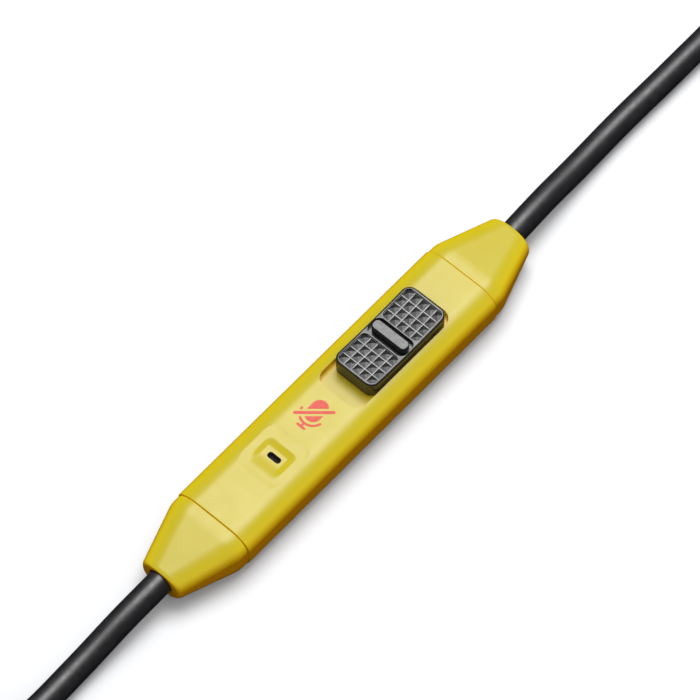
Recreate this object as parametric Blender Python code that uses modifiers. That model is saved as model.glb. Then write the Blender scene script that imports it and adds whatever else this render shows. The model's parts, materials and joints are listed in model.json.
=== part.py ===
"""In-line microphone and mute control of a headphone lead, with the lead and its two plugs.

+X runs along the lead towards the headphones, +Z is up, and the control lies on z = 0.
Dimensions are written in millimetres. The helpers turn them into Blender's metres.
"""

import math

import bmesh
import bpy
import numpy as np
from mathutils import Matrix, Vector

MM = 0.001

# Housing: two shells that meet just above the bottom, and a tapered cap at each end.
BODY_LENGTH = 48.7
BODY_WIDTH = 12.5
BODY_HEIGHT = 7.0
BODY_CORNER = 2.5
END_FILLET = 0.35
WALL = 1.1
END_WALL = 1.3
PARTING_HEIGHT = 1.2
SEAM_GAP = 0.1
CAP_GAP = 0.2
CONTROL_LENGTH = 69.2
NECK_WIDTH = 9.6
NECK_HEIGHT = 4.2
NECK_LENGTH = 2.6

# Thumb slider and its recess. It moves from ON, as drawn, towards the microphone.
TRAVEL = 2.4
KNOB_X = 10.2
KNOB_LENGTH = 15.2
KNOB_WIDTH = 7.1
KNOB_CORNER = 1.35
KNOB_BOTTOM = 5.9
KNOB_TOP = 8.7
KNOB_HOLLOW = 0.4
BAR_TOP = 9.0
STEM_LENGTH = 5.0
STEM_WIDTH = 2.6
RECESS_ENDS = (-0.55, 18.5)
RECESS_WIDTH = 7.6
RECESS_CORNER = 1.7
RECESS_FLOOR = 5.8
SWITCH_X = KNOB_X - TRAVEL / 2

# Microphone.
MIC_X = -12.6
POCKET_LENGTH = 3.4
POCKET_WIDTH = 5.7
POCKET_SLOPE = 0.8
POCKET_FLOOR = 6.58

# Circuit board.
BOARD_BOTTOM = 1.7
BOARD_TOP = 2.5
SNAP_X = 14.0
POST_X = 20.5
POST_Y = 3.4

# The lead.
LEAD_DIAMETER = 3.6
LEAD_RADIUS = LEAD_DIAMETER / 2
LEAD_HEIGHT = BODY_HEIGHT / 2
WIRE_RADIUS = 0.35

# Each end of the lead is folded into a tied hank that lies in line with the control.
HANK_INNER = 7.2
HANK_OUTER = 14.4
HANK_BASE = 0.6
FOLD_RADIUS = (HANK_INNER + HANK_OUTER) / 2
HEADSET_NEAR = 100.4  # the centres of the end loops nearest to the control
SOURCE_NEAR = -80.9
HEADSET_RUN = 25.3
SOURCE_RUN = 36.3
HEADSET_HANK_TOP = 4.2
SOURCE_HANK_TOP = 11.4
HEADSET_PLUG_HEIGHT = 7.0
SOURCE_PLUG_HEIGHT = 10.6
TIE_THICKNESS = 0.4
TIE_WIDTH = 6.0
TIE_CLEARANCE = 0.15

# Plug, measured along its axis from the thin end of its relief.
RELIEF_LENGTH = 7.0
HANDLE_LENGTH = 12.0
HANDLE_RADIUS = 2.5
SHAFT_RADIUS = 1.75
SHAFT_LENGTH = 14.0

CAP_SECTIONS = (  # distance from the cap's wide face, width, height, corner radius
    (0.0, 11.8, 6.3, 2.15),
    (0.1, 12.1, 6.6, 2.3),
    (0.35, 12.3, 6.8, 2.4),
    (1.0, 12.3, 6.8, 2.4),
    (1.6, 12.13, 6.74, 2.38),
    (2.2, 11.8, 6.62, 2.35),
    (9.5, 6.95, 4.78, 2.15),
    (9.8, 6.75, 4.6, 2.1),
    (10.05, 6.4, 4.3, 2.0),
)

HEADSET_ROUTE = (  # from the exit at the headphone end to the hank
    (34.9, 0.05, 3.5),
    (38.5, 0.25, 3.42),
    (42.3, 0.51, 3.05),
    (47.9, 0.86, 2.3),
    (53.5, 1.13, 1.9),
    (59.3, 1.26, 1.8),
    (67.8, 1.19, 1.8),
    (73.3, 1.19, 1.8),
    (77.8, 1.25, 1.8),
    (81.2, 1.63, 1.84),
    (84.5, 2.58, 1.92),
)

SOURCE_ROUTE = (  # from the exit at the source end to the hank
    (-34.9, -0.02, 3.5),
    (-38.5, -0.04, 3.42),
    (-42.3, -0.05, 3.05),
    (-47.5, -0.05, 2.3),
    (-52.5, -0.05, 1.9),
    (-57.5, -0.02, 1.8),
    (-60.5, 0.17, 1.82),
    (-63.0, 0.82, 1.88),
    (-65.0, 1.72, 1.96),
)


# ---------------------------------------------------------------- helpers


def clear_scene():
    for obj in list(bpy.data.objects):
        bpy.data.objects.remove(obj, do_unlink=True)


def new_collection(name):
    collection = bpy.data.collections.new(name)
    bpy.context.scene.collection.children.link(collection)
    return collection


def new_material(name, colour, roughness, metallic=0.0):
    material = bpy.data.materials.new(name)
    material.use_nodes = True
    shader = material.node_tree.nodes["Principled BSDF"]
    shader.inputs["Base Color"].default_value = (*colour, 1.0)
    shader.inputs["Roughness"].default_value = roughness
    shader.inputs["Metallic"].default_value = metallic
    return material


def new_empty(name, place, parent=None):
    """A body's empty, on its joint's axis."""
    empty = bpy.data.objects.new(name, None)
    PARTS.objects.link(empty)
    empty.location = Vector(place) * MM
    empty.parent = parent
    bpy.context.view_layer.update()
    return empty


def finish(obj, material, body, sharp_angle=35):
    """Makes an object a visible part: its material, its shading and the body that it moves with."""
    obj.data.materials.append(material)
    if obj.type == "MESH":
        obj.data.shade_smooth()
        obj.data.set_sharp_from_angle(angle=math.radians(sharp_angle))
    if body is not None:
        obj.parent = body
        obj.matrix_parent_inverse = body.matrix_world.inverted()
    return obj


def mesh_object(name, mesh_edit):
    """Turns a bmesh, already in millimetres and in place, into an object."""
    bmesh.ops.recalc_face_normals(mesh_edit, faces=mesh_edit.faces)
    bmesh.ops.scale(mesh_edit, vec=(MM, MM, MM), verts=mesh_edit.verts)
    mesh = bpy.data.meshes.new(name)
    mesh_edit.to_mesh(mesh)
    mesh_edit.free()
    obj = bpy.data.objects.new(name, mesh)
    PARTS.objects.link(obj)
    return obj


def modify(obj, kind, **settings):
    modifier = obj.modifiers.new(kind.lower(), kind)
    for key, value in settings.items():
        setattr(modifier, key, value)
    return modifier


def combine(obj, tool, operation):
    """Cuts or joins with a tool object, which stays in the file as a guide."""
    PARTS.objects.unlink(tool)
    TOOLS.objects.link(tool)
    tool.hide_render = True
    tool.display_type = "WIRE"
    modify(obj, "BOOLEAN", operation=operation, object=tool, solver="EXACT")


def cut(obj, *tools):
    for tool in tools:
        combine(obj, tool, "DIFFERENCE")


def join(obj, *tools):
    for tool in tools:
        combine(obj, tool, "UNION")


def boxes(name, *spans):
    """One object of separate boxes, each given as its (low, high) in x, y and z."""
    mesh_edit = bmesh.new()
    for span in spans:
        centre = Vector([(low + high) / 2 for low, high in span])
        size = [high - low for low, high in span]
        matrix = Matrix.Translation(centre) @ Matrix.Diagonal((*size, 1.0))
        bmesh.ops.create_cube(mesh_edit, size=1.0, matrix=matrix)
    return mesh_object(name, mesh_edit)


def disc(name, centre, radius, low, high, sides=24, axis="Z"):
    """A plain cylinder along Z or X."""
    mesh_edit = bmesh.new()
    middle = (low + high) / 2
    if axis == "Z":
        matrix = Matrix.Translation((centre[0], centre[1], middle))
    else:
        matrix = Matrix.Translation((middle, centre[0], centre[1])) @ Matrix.Rotation(math.pi / 2, 4, "Y")
    bmesh.ops.create_cone(
        mesh_edit, cap_ends=True, segments=sides, radius1=radius, radius2=radius, depth=high - low, matrix=matrix
    )
    return mesh_object(name, mesh_edit)


def rounded_rectangle(length, width, radius, centre=(0.0, 0.0), steps=6):
    """Corner arcs of a rounded rectangle, anticlockwise."""
    points = []
    for quarter in range(4):
        across = length / 2 - radius if quarter in (0, 3) else radius - length / 2
        along = width / 2 - radius if quarter in (0, 1) else radius - width / 2
        for step in range(steps + 1):
            angle = (quarter + step / steps) * math.pi / 2
            points.append(
                (
                    centre[0] + across + radius * math.cos(angle),
                    centre[1] + along + radius * math.sin(angle),
                )
            )
    return points


def racetrack(first, last, half_width, steps=14):
    """Two half circles joined by straight runs, between the arc centres at x = first and x = last."""
    low, high = sorted((first, last))
    points = []
    for centre, start in ((high, -math.pi / 2), (low, math.pi / 2)):
        for step in range(steps + 1):
            angle = start + math.pi * step / steps
            points.append((centre + half_width * math.cos(angle), half_width * math.sin(angle)))
    return points


AXES = {  # where the outline's own x, y and thickness point
    "Z": Matrix(((1, 0, 0), (0, 1, 0), (0, 0, 1))),
    "X": Matrix(((0, 0, 1), (1, 0, 0), (0, 1, 0))),
    "Y": Matrix(((1, 0, 0), (0, 0, -1), (0, 1, 0))),
}


def prism(name, loops, low, high, axis="Z"):
    """A flat outline, with its holes, extruded from low to high along an axis."""
    curve = bpy.data.curves.new(name, "CURVE")
    curve.dimensions = "2D"
    curve.fill_mode = "BOTH"
    curve.extrude = (high - low) / 2 * MM
    for loop in loops:
        spline = curve.splines.new("POLY")
        spline.points.add(len(loop) - 1)
        for point, (across, along) in zip(spline.points, loop):
            point.co = (across * MM, along * MM, 0.0, 1.0)
        spline.use_cyclic_u = True
    outline = bpy.data.objects.new(name, curve)
    PARTS.objects.link(outline)
    turn = AXES[axis].to_4x4()
    shift = Vector((axis == "X", axis == "Y", axis == "Z")) * ((low + high) / 2 * MM)
    outline.matrix_world = Matrix.Translation(shift) @ turn
    return solid_from_curve(name, outline)


def solid_from_curve(name, outline):
    """The welded mesh of a curve object, which it replaces."""
    bpy.context.view_layer.update()
    evaluated = outline.evaluated_get(bpy.context.evaluated_depsgraph_get())
    mesh = bpy.data.meshes.new_from_object(evaluated)
    mesh.transform(outline.matrix_world)
    mesh_edit = bmesh.new()
    mesh_edit.from_mesh(mesh)
    bmesh.ops.remove_doubles(mesh_edit, verts=mesh_edit.verts, dist=1e-6)
    bmesh.ops.recalc_face_normals(mesh_edit, faces=mesh_edit.faces)
    mesh_edit.to_mesh(mesh)
    mesh_edit.free()
    mesh.materials.clear()
    bpy.data.objects.remove(outline, do_unlink=True)
    obj = bpy.data.objects.new(name, mesh)
    PARTS.objects.link(obj)
    return obj


def loft(name, sections, to_place, steps=6):
    """A closed skin over rounded rectangles, given as (distance, width, height, corner radius)."""
    mesh_edit = bmesh.new()
    rings = []
    for distance, width, height, radius in sections:
        outline = rounded_rectangle(width, height, radius, steps=steps)
        rings.append([mesh_edit.verts.new(to_place(distance, a, b)) for a, b in outline])
    count = len(rings[0])
    for lower, upper in zip(rings, rings[1:]):
        for i in range(count):
            j = (i + 1) % count
            mesh_edit.faces.new((lower[i], lower[j], upper[j], upper[i]))
    mesh_edit.faces.new(rings[0])
    mesh_edit.faces.new(rings[-1])
    return mesh_object(name, mesh_edit)


def turned(name, profile, start, direction, sides=20, closed=False):
    """A profile of (distance along X, radius) turned about the axis through start.

    The distances grow along direction, which is +1 or -1 times X.
    """
    mesh = bpy.data.meshes.new(name)
    points = [(radius * MM, 0.0, distance * MM) for distance, radius in reversed(profile)]
    edges = [(i, i + 1) for i in range(len(points) - 1)]
    if closed:
        edges.append((len(points) - 1, 0))
    mesh.from_pydata(points, edges, [])
    obj = bpy.data.objects.new(name, mesh)
    PARTS.objects.link(obj)
    obj.location = Vector(start) * MM
    obj.rotation_euler = (0.0, direction * math.pi / 2, 0.0)
    modify(
        obj,
        "SCREW",
        angle=math.tau,
        steps=sides,
        render_steps=sides,
        use_merge_vertices=True,
        merge_threshold=1e-6,
        use_normal_calculate=False,
    )
    return obj


def smooth_route(points, spacing):
    """Evenly spaced points on the natural cubic curve through the given ones."""
    points = np.array(points, float)
    steps = np.linalg.norm(np.diff(points, axis=0), axis=1)
    knots = np.concatenate([[0.0], np.cumsum(steps)])
    system = np.eye(len(points))
    slopes = np.diff(points, axis=0) / steps[:, None]
    right = np.zeros_like(points)
    for i in range(1, len(points) - 1):
        system[i, i - 1 : i + 2] = steps[i - 1], 2 * (steps[i - 1] + steps[i]), steps[i]
        right[i] = 6 * (slopes[i] - slopes[i - 1])
    bend = np.linalg.solve(system, right)
    route = []
    for place in np.linspace(0.0, knots[-1], max(2, round(knots[-1] / spacing) + 1)):
        i = min(int(np.searchsorted(knots, place, side="right")) - 1, len(steps) - 1)
        after, before = place - knots[i], knots[i + 1] - place
        straight = (points[i] * before + points[i + 1] * after) / steps[i]
        curved = bend[i] * (before**3 / steps[i] - before * steps[i])
        curved += bend[i + 1] * (after**3 / steps[i] - after * steps[i])
        route.append(straight + curved / 6)
    return route


def tube(name, points, radius, resolution=2):
    """A round wire or cord along the points."""
    curve = bpy.data.curves.new(name, "CURVE")
    curve.dimensions = "3D"
    curve.bevel_depth = radius * MM
    curve.bevel_resolution = resolution
    curve.use_fill_caps = True
    spline = curve.splines.new("POLY")
    spline.points.add(len(points) - 1)
    for point, place in zip(spline.points, points):
        point.co = (*[value * MM for value in place], 1.0)
    obj = bpy.data.objects.new(name, curve)
    PARTS.objects.link(obj)
    return obj


# ---------------------------------------------------------------- housing


def along_x(side, wide_face):
    """Places a cap's section: distance along the axis, then across and up from the lead's axis."""
    return lambda distance, across, up: (side * (wide_face + distance), across, LEAD_HEIGHT + up)


def body_outline(inset=0.0):
    return rounded_rectangle(
        BODY_WIDTH - 2 * inset, BODY_HEIGHT - 2 * inset, BODY_CORNER - inset, centre=(0.0, LEAD_HEIGHT)
    )


def body_block(name):
    """The whole housing between its two seams, with a small fillet round each end."""
    block = prism(name, [body_outline()], -BODY_LENGTH / 2, BODY_LENGTH / 2, "X")
    modify(block, "BEVEL", width=END_FILLET * MM, segments=2, limit_method="ANGLE", angle_limit=math.radians(60))
    return block


def neck_section(shrink):
    """The oval neck that carries an end cap, or its passage when shrunk."""
    return rounded_rectangle(
        NECK_WIDTH - shrink, NECK_HEIGHT - shrink, 1.2 - shrink / 4, centre=(0.0, LEAD_HEIGHT), steps=4
    )


def add_necks(shell):
    half = BODY_LENGTH / 2
    for side in (-1, 1):
        ends = sorted((side * (half - 0.6), side * (half + NECK_LENGTH)))
        join(shell, prism("neck", [neck_section(0.0)], *ends, "X"))
    for side in (-1, 1):
        ends = sorted((side * (half - END_WALL - 0.7), side * (half + NECK_LENGTH + 0.5)))
        cut(shell, prism("neck_passage", [neck_section(1.3)], *ends, "X"))


def hollow_front_shell(shell):
    cavity_width = BODY_WIDTH - 2 * WALL
    top = BODY_HEIGHT - WALL
    depth = 8.0
    outline = rounded_rectangle(cavity_width, depth, BODY_CORNER - WALL, centre=(0.0, top - depth / 2))
    reach = BODY_LENGTH / 2 - END_WALL
    cut(shell, prism("cavity", [outline], -reach, reach, "X"))


def add_slider_well(shell):
    """A thick pad under the recess, the recess itself and the slot for the slider's stem."""
    middle = sum(RECESS_ENDS) / 2
    length = RECESS_ENDS[1] - RECESS_ENDS[0]
    half = length / 2 + 0.85
    join(shell, boxes("well", ((middle - half, middle + half), (-4.75, 4.75), (5.0, 6.2))))
    recess = rounded_rectangle(length, RECESS_WIDTH, RECESS_CORNER, centre=(middle, 0.0))
    cut(shell, prism("recess", [recess], RECESS_FLOOR, BODY_HEIGHT + 1.0))
    slot = rounded_rectangle(STEM_LENGTH + TRAVEL + 0.4, STEM_WIDTH + 0.4, 0.3, centre=(SWITCH_X, 0.0), steps=2)
    cut(shell, prism("stem_slot", [slot], 4.5, RECESS_FLOOR + 0.5))


def add_microphone_seat(shell):
    """A holder ring for the microphone's boot, the sloped pocket above it and the sound slot."""
    join(shell, disc("boot_ring", (MIC_X, 0.0), 3.3, 4.4, 6.2))
    rise = BODY_HEIGHT - POCKET_FLOOR
    length, width = POCKET_LENGTH - 2 * POCKET_SLOPE, POCKET_WIDTH - 2 * POCKET_SLOPE
    pocket = (
        (POCKET_FLOOR, length, width, 0.4),
        (BODY_HEIGHT + rise, length + 4 * POCKET_SLOPE, width + 4 * POCKET_SLOPE, 0.9),
    )
    cut(shell, loft("pocket", pocket, lambda height, x, y: (MIC_X + x, y, height), steps=3))
    cut(shell, disc("boot_bore", (MIC_X, 0.0), 2.75, 4.0, 6.1))
    slot = rounded_rectangle(0.92, 2.16, 0.35, centre=(MIC_X, 0.0), steps=3)
    cut(shell, prism("sound_slot", [slot], 5.8, BODY_HEIGHT))


def add_board_posts(shell):
    spans = []
    for x in (-POST_X, POST_X):
        for y in (-POST_Y, POST_Y):
            spans.append(((x - 0.6, x + 0.6), (y - 0.5, y + 0.5), (BOARD_TOP + 0.1, 6.2)))
    join(shell, boxes("board_posts", *spans))


def snap_boxes(name, half_length, near, far, low, high):
    spans = []
    for x in (-SNAP_X, SNAP_X):
        for ends in ((-far, -near), (near, far)):
            spans.append(((x - half_length, x + half_length), ends, (low, high)))
    return boxes(name, *spans)


def make_front_shell():
    shell = body_block("front_shell")
    edge = PARTING_HEIGHT + SEAM_GAP
    cut(shell, boxes("below_seam", ((-30.0, 30.0), (-8.0, 8.0), (-1.0, edge))))
    hollow_front_shell(shell)
    add_necks(shell)
    add_slider_well(shell)
    add_microphone_seat(shell)
    add_board_posts(shell)
    cut(shell, snap_boxes("snap_notches", 1.6, 5.0, 5.55, 1.75, 2.25))
    finish(shell, YELLOW, HOUSING)


def make_rear_shell():
    shell = body_block("rear_shell")
    cut(shell, boxes("above_seam", ((-30.0, 30.0), (-8.0, 8.0), (PARTING_HEIGHT, 8.0))))
    outer = rounded_rectangle(45.6, 9.9, 1.5, steps=4)
    inner = rounded_rectangle(44.4, 8.9, 1.0, steps=4)
    join(shell, prism("lip", [outer], PARTING_HEIGHT - 0.2, 2.3))
    cut(shell, prism("lip_inside", [inner], PARTING_HEIGHT - 0.1, 3.0))
    ribs = [((x - 0.4, x + 0.4), (-4.0, 4.0), (0.9, BOARD_BOTTOM - 0.1)) for x in (-18.0, 0.0, 18.0)]
    join(shell, boxes("board_ribs", *ribs))
    join(shell, snap_boxes("snap_ridges", 1.4, 4.8, 5.4, 1.8, 2.2))
    finish(shell, YELLOW, HOUSING)


def make_end_cap(name, side):
    wide_face = BODY_LENGTH / 2 + CAP_GAP
    cap = loft(name, CAP_SECTIONS, along_x(side, wide_face))
    pocket = ((-1.0, 10.0, 4.6, 1.4), (2.8, 10.0, 4.6, 1.4))
    chamber = ((2.5, 7.4, 4.5, 1.6), (5.5, 7.4, 4.5, 1.6))
    cut(cap, loft("neck_pocket", pocket, along_x(side, wide_face), steps=4))
    cut(cap, loft("crimp_chamber", chamber, along_x(side, wide_face), steps=4))
    ends = sorted((side * 29.0, side * 36.0))
    cut(cap, disc("lead_bore", (0.0, LEAD_HEIGHT), LEAD_RADIUS + 0.1, *ends, axis="X"))
    finish(cap, YELLOW, HOUSING)


# ---------------------------------------------------------------- inside the housing


def make_lead_end(end, side, wires):
    """The lead's own end in the cap, its crimp and the wires that run on to the board."""
    start, stop = 27.7, CONTROL_LENGTH / 2
    ends = sorted((side * start, side * stop))
    jacket = disc(f"{end}_lead_end", (0.0, LEAD_HEIGHT), LEAD_RADIUS, *ends, sides=16, axis="X")
    finish(jacket, BLACK_JACKET, HOUSING)
    ring = ((0.0, 1.9), (0.0, 2.15), (1.6, 2.15), (1.6, 1.9))
    crimp = turned(f"{end}_crimp", ring, (side * 28.3, 0.0, LEAD_HEIGHT), side, sides=16, closed=True)
    finish(crimp, TIN, HOUSING)
    pitch = 1.45
    for number, material in enumerate(wires):
        place = number - (len(wires) - 1) / 2
        near, far = place * 0.8, place * pitch
        points = (
            (side * (start - 0.1), near, LEAD_HEIGHT),
            (side * 25.6, near * 1.1, LEAD_HEIGHT),
            (side * 23.2, (near + far) / 2, LEAD_HEIGHT - 0.1),
            (side * 21.0, far, LEAD_HEIGHT - 0.45),
            (side * 19.2, far, BOARD_TOP + WIRE_RADIUS + 0.05),
        )
        wire = tube(f"{end}_wire_{number + 1}", smooth_route(points, 1.2), WIRE_RADIUS, resolution=1)
        finish(wire, material, HOUSING)


def make_circuit_board():
    board = boxes("circuit_board", ((-21.6, 21.6), (-4.25, 4.25), (BOARD_BOTTOM, BOARD_TOP)))
    finish(board, BOARD_GREEN, HOUSING)
    chips = (
        ("resistor_1", (-2.6, -1.9), 0.45, DARK_CHIP),
        ("resistor_2", (-2.6, 1.9), 0.45, DARK_CHIP),
        ("capacitor_1", (-6.2, 0.0), 0.8, TAN_CHIP),
    )
    low = BOARD_TOP + 0.05
    for name, (x, y), height, material in chips:
        chip = boxes(name, ((x - 0.8, x + 0.8), (y - 0.4, y + 0.4), (low, low + height)))
        finish(chip, material, HOUSING)


def make_microphone():
    boot = disc("microphone_boot", (MIC_X, 0.0), 2.6, 3.4, 5.75)
    cut(boot, disc("boot_inside", (MIC_X, 0.0), 2.15, 3.0, 5.35))
    cut(boot, disc("boot_hole", (MIC_X, 0.0), 0.6, 5.2, 6.0, sides=12))
    finish(boot, BLACK_RUBBER, HOUSING)
    finish(disc("microphone_capsule", (MIC_X, 0.0), 2.0, 3.7, 5.25), TIN, HOUSING)
    finish(disc("microphone_mesh", (MIC_X, 0.0), 2.5, 5.85, 5.97), MESH_GREY, HOUSING)
    for number, offset in enumerate((-1.0, 1.0)):
        points = ((MIC_X + offset, 0.0, 3.6), (MIC_X + offset, 0.0, BOARD_TOP + 0.1))
        lead = tube(f"microphone_lead_{number + 1}", points, 0.2, resolution=1)
        finish(lead, TIN, HOUSING)


def make_switch():
    """The slide switch on the board: base and terminals, frame, actuator and sliding contact."""
    x = SWITCH_X
    base = boxes("switch_base", ((x - 4.3, x + 4.3), (-1.9, 1.9), (BOARD_TOP + 0.1, 2.85)))
    finish(base, DARK_CHIP, HOUSING)
    frame = boxes("switch_frame", ((x - 4.3, x + 4.3), (-1.9, 1.9), (2.9, 4.05)))
    cut(frame, boxes("frame_inside", ((x - 4.1, x + 4.1), (-1.7, 1.7), (2.0, 3.87))))
    cut(frame, boxes("frame_slot", ((x - 2.15, x + 2.15), (-0.9, 0.9), (3.5, 4.5))))
    finish(frame, TIN, HOUSING)
    for number, offset in enumerate((-2.5, 0.0, 2.5)):
        span = ((x + offset - 0.25, x + offset + 0.25), (-3.0, -2.0), (BOARD_TOP + 0.1, 2.8))
        finish(boxes(f"switch_terminal_{number + 1}", span), TIN, HOUSING)
    x = KNOB_X
    contact = boxes("switch_contact", ((x - 1.5, x + 1.5), (-1.1, 1.1), (2.92, 3.07)))
    finish(contact, BRASS, SLIDER)
    actuator = boxes("switch_actuator", ((x - 2.1, x + 2.1), (-1.4, 1.4), (3.12, 3.8)))
    join(actuator, boxes("actuator_post", ((x - 0.75, x + 0.75), (-0.75, 0.75), (3.5, 5.2))))
    finish(actuator, DARK_CHIP, SLIDER)


# ---------------------------------------------------------------- thumb slider


def knob_hollow():
    """What the thumb's shallow hollow takes off the knob's top, as an outline in x and z."""
    half = KNOB_LENGTH / 2
    radius = (half**2 + KNOB_HOLLOW**2) / (2 * KNOB_HOLLOW)
    centre = KNOB_TOP - KNOB_HOLLOW + radius
    reach = half + 1.0
    steps = 12
    points = []
    for step in range(steps + 1):
        x = reach * (2 * step / steps - 1)
        points.append((KNOB_X + x, centre - math.sqrt(radius**2 - x**2)))
    return points + [(KNOB_X + reach, KNOB_TOP + 2.0), (KNOB_X - reach, KNOB_TOP + 2.0)]


def make_knob():
    outline = rounded_rectangle(KNOB_LENGTH, KNOB_WIDTH, KNOB_CORNER, centre=(KNOB_X, 0.0), steps=5)
    knob = prism("mute_knob", [outline], KNOB_BOTTOM, KNOB_TOP + 0.5)
    cut(knob, prism("thumb_hollow", [knob_hollow()], -5.0, 5.0, "Y"))
    modify(knob, "BEVEL", width=0.3 * MM, segments=2, limit_method="ANGLE", angle_limit=math.radians(50))
    groove = rounded_rectangle(2.7, 6.4, 1.0, centre=(KNOB_X, 0.0), steps=4)
    cut(knob, prism("groove", [groove], 7.9, KNOB_TOP + 1.0))
    for side in (-1, 1):
        pad = rounded_rectangle(5.2, 5.9, 0.8, centre=(KNOB_X + side * 4.35, 0.0), steps=3)
        cut(knob, prism("pad", [pad], 8.16, KNOB_TOP + 1.0))
    bar = prism("bar", [rounded_rectangle(1.45, 5.9, 0.6, centre=(KNOB_X, 0.0), steps=4)], 7.6, BAR_TOP)
    modify(bar, "BEVEL", width=0.2 * MM, segments=2, limit_method="ANGLE", angle_limit=math.radians(60))
    join(knob, bar)
    core = rounded_rectangle(12.8, 4.8, 0.8, centre=(KNOB_X, 0.0), steps=3)
    cut(knob, prism("core", [core], 5.0, 7.1))
    half = STEM_LENGTH / 2
    join(knob, boxes("stem", ((KNOB_X - half, KNOB_X + half), (-STEM_WIDTH / 2, STEM_WIDTH / 2), (4.15, 7.4))))
    lugs = [((KNOB_X - 1.5, KNOB_X + 1.5), ends, (4.15, 4.33)) for ends in ((-1.7, -1.2), (1.2, 1.7))]
    join(knob, boxes("lugs", *lugs))
    cut(knob, boxes("socket", ((KNOB_X - 0.85, KNOB_X + 0.85), (-0.85, 0.85), (3.5, 5.35))))
    finish(knob, BLACK_KNOB, SLIDER)


def make_knob_retainer():
    plate = boxes("knob_retainer", ((KNOB_X - 5.0, KNOB_X + 5.0), (-3.2, 3.2), (4.38, 4.85)))
    half = STEM_LENGTH / 2 + 0.1
    cut(plate, boxes("stem_hole", ((KNOB_X - half, KNOB_X + half), (-1.4, 1.4), (4.0, 5.5))))
    finish(plate, WHITE_PLASTIC, SLIDER)


# ---------------------------------------------------------------- leads, hanks and plugs


def make_lead(end, route):
    finish(tube(f"{end}_lead", smooth_route(route, 2.2 * LEAD_DIAMETER), LEAD_RADIUS), BLACK_JACKET, HOUSING)


def make_hank(end, near, far, top, notch=None):
    """The outer shape of a hank, between the centres of its end loops, with room for a plug."""
    loops = [racetrack(near, far, HANK_OUTER), racetrack(near, far, HANK_INNER)]
    hank = prism(f"{end}_hank", loops, HANK_BASE, top)
    if notch:
        cut(hank, boxes("plug_notch", notch))
    finish(hank, BLACK_JACKET, HOUSING)


def make_tie(end, x, top):
    """A strap round the hank's run on the -Y side."""
    width = HANK_OUTER - HANK_INNER + 2 * TIE_CLEARANCE
    height = top - HANK_BASE + 2 * TIE_CLEARANCE
    centre = (-FOLD_RADIUS, (top + HANK_BASE) / 2)
    outer = rounded_rectangle(width + 2 * TIE_THICKNESS, height + 2 * TIE_THICKNESS, 0.7, centre, steps=3)
    inner = rounded_rectangle(width, height, 0.3, centre, steps=3)
    strap = prism(f"{end}_tie", [outer, inner], x - TIE_WIDTH / 2, x + TIE_WIDTH / 2, "X")
    finish(strap, TIE_FABRIC, HOUSING)


def plug_stages(rings):
    """Names, starts and ends of the shaft's pieces, from the handle to the tip."""
    gap, band, ring = 0.05, 0.6, 2.1
    place = RELIEF_LENGTH + HANDLE_LENGTH + 0.1
    tip = 3.9
    sleeve = SHAFT_LENGTH - tip - band - (ring + band) * len(rings)
    stages = []
    for name, length in [("sleeve", sleeve), *[(ring_name, ring) for ring_name in rings]]:
        stages.append((name, place, place + length - gap))
        place += length
        stages.append((f"insulator_{(len(stages) + 1) // 2}", place, place + band - gap))
        place += band
    stages.append(("tip", place, place + tip))
    return stages


def tip_profile(start, end):
    return (
        (start, 0.0),
        (start, SHAFT_RADIUS),
        (start + 0.9, SHAFT_RADIUS),
        (start + 1.6, 1.2),
        (start + 2.0, 1.25),
        (start + 2.5, 1.6),
        (end - 0.9, 1.45),
        (end - 0.2, 0.75),
        (end, 0.35),
        (end, 0.0),
    )


def make_plug(end, start, direction, rings):
    """A stereo plug: moulded handle with its tapered relief, then the contacts and insulators."""
    grip_end = RELIEF_LENGTH + HANDLE_LENGTH
    handle = (
        (0.0, 0.0),
        (0.0, 1.95),
        (RELIEF_LENGTH - 0.4, 2.2),
        (RELIEF_LENGTH, 2.35),
        (RELIEF_LENGTH + 0.4, HANDLE_RADIUS),
        (grip_end - 0.5, HANDLE_RADIUS),
        (grip_end - 0.1, 2.3),
        (grip_end, 2.0),
        (grip_end, 0.0),
    )
    finish(turned(f"{end}_plug_handle", handle, start, direction), BLACK_PLUG, HOUSING)
    for name, low, high in plug_stages(rings):
        profile = ((low, 0.0), (low, SHAFT_RADIUS), (high, SHAFT_RADIUS), (high, 0.0))
        if name == "tip":
            profile = tip_profile(low, high)
        material = BLACK_PLUG if name.startswith("insulator") else GOLD
        finish(turned(f"{end}_plug_{name}", profile, start, direction), material, HOUSING)


def headset_tail_route(plug_start):
    """From the hank's run on the -Y side, over its near loop, to the plug on the +Y side."""
    near, radius, height = HEADSET_NEAR, FOLD_RADIUS, 6.3
    route = [(near + 6.0, -radius, height), (near + 3.0, -radius, height)]
    steps = 12
    for step in range(steps + 1):
        angle = math.pi * (1.5 - step / steps)
        rise = max(0.0, 2 * step / steps - 1)
        z = height + (HEADSET_PLUG_HEIGHT - height) * rise**2 * (3 - 2 * rise)
        route.append((near + radius * math.cos(angle), radius * math.sin(angle), z))
    return route + [(plug_start - 0.4, radius, HEADSET_PLUG_HEIGHT)]


def make_headset_end():
    near, far = HEADSET_NEAR, HEADSET_NEAR + HEADSET_RUN
    make_lead("headset", HEADSET_ROUTE)
    make_hank("headset", near, far, HEADSET_HANK_TOP)
    make_tie("headset", (near + far) / 2, HEADSET_HANK_TOP)
    plug_start = near + 2.0
    route = smooth_route(headset_tail_route(plug_start), LEAD_DIAMETER)
    finish(tube("headset_tail", route, LEAD_RADIUS), BLACK_JACKET, HOUSING)
    make_plug("headset", (plug_start, FOLD_RADIUS, HEADSET_PLUG_HEIGHT), 1, ["ring"])


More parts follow.
